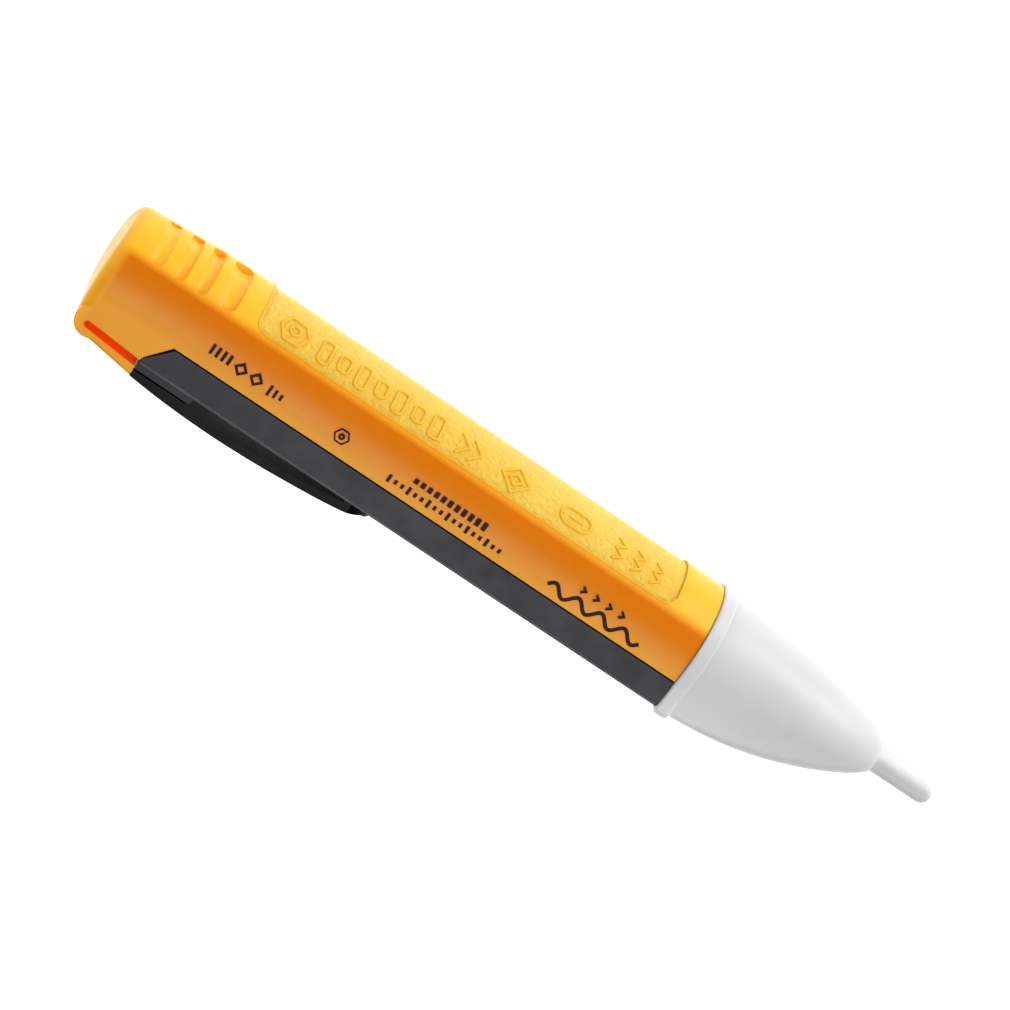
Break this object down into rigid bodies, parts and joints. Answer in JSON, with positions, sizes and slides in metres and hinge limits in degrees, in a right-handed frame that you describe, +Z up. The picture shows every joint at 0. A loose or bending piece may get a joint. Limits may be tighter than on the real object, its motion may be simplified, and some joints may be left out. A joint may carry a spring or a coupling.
{
  "type": "non contact voltage tester",
  "caption": "Pen-shaped non contact voltage tester with a sliding yellow sleeve, grey chassis, pocket clip, push button and translucent sensing nose.",
  "frame": {"origin": "centre of the footprint when the pen lies on one flat side, at the height of the surface it lies on", "axes": "+X along the pen towards the sensing tip, +Y towards the domed back, -Y towards the pocket clip, +Z up, square to the flat sides"},
  "size_m": [0.15, 0.0231, 0.0228],
  "materials": {
    "yellow_plastic": "smooth moulded, coarse grain in the back panel",
    "grey_plastic": "satin moulded",
    "black_plastic": "semi-gloss moulded",
    "white_translucent": "translucent moulded",
    "button_rubber": "matte",
    "board_green": "solder mask",
    "chip_black": "moulded epoxy",
    "ceramic_tan": "fired ceramic",
    "spring_steel": "nickel plated",
    "brass": "rolled",
    "copper": "rolled strip",
    "cell_wrap": "printed sleeve on a steel can",
    "led_red": "tinted clear epoxy",
    "lead_insulation": "extruded"
  },
  "bodies": {
    "chassis": {"chassis_tray": "grey_plastic", "nose_cone": "white_translucent", "circuit_board": "board_green", "detector_chip": "chip_black", "driver_transistors": "chip_black", "chip_resistors": "chip_black", "chip_capacitors": "ceramic_tan", "storage_capacitor": "cell_wrap", "boost_coil": "copper", "indicator_led": "led_red", "led_leads": "spring_steel", "sensor_plate": "copper", "sensor_lead": "lead_insulation", "buzzer_case": "chip_black", "piezo_disc": "brass", "buzzer_pins": "spring_steel", "tact_switch": "spring_steel", "battery_front": "cell_wrap", "battery_rear": "cell_wrap", "battery_spring": "spring_steel", "front_contact": "spring_steel", "rear_contact": "spring_steel", "return_strip": "spring_steel", "board_screws": "spring_steel"},
    "sleeve": {"sleeve": "yellow_plastic"},
    "clip": {"pocket_clip": "black_plastic"},
    "button": {"power_button": "button_rubber", "switch_plunger": "chip_black"}
  },
  "joints": [
    {"name": "sleeve_slide", "type": "slide", "parent": "chassis", "child": "sleeve", "axis": [-1, 0, 0], "range_m": [0, 0.1]},
    {"name": "button_press", "type": "slide", "parent": "chassis", "child": "button", "axis": [0, 1, 0], "range_m": [0, 0.0005], "stiffness_N_per_m": 1200},
    {"name": "clip_flex", "type": "hinge", "parent": "chassis", "child": "clip", "pos_m": [-0.0609, -0.00915, 0.0114], "axis": [0, 0, -1], "range_deg": [0, 7], "stiffness_Nm_per_rad": 0.9}
  ]
}
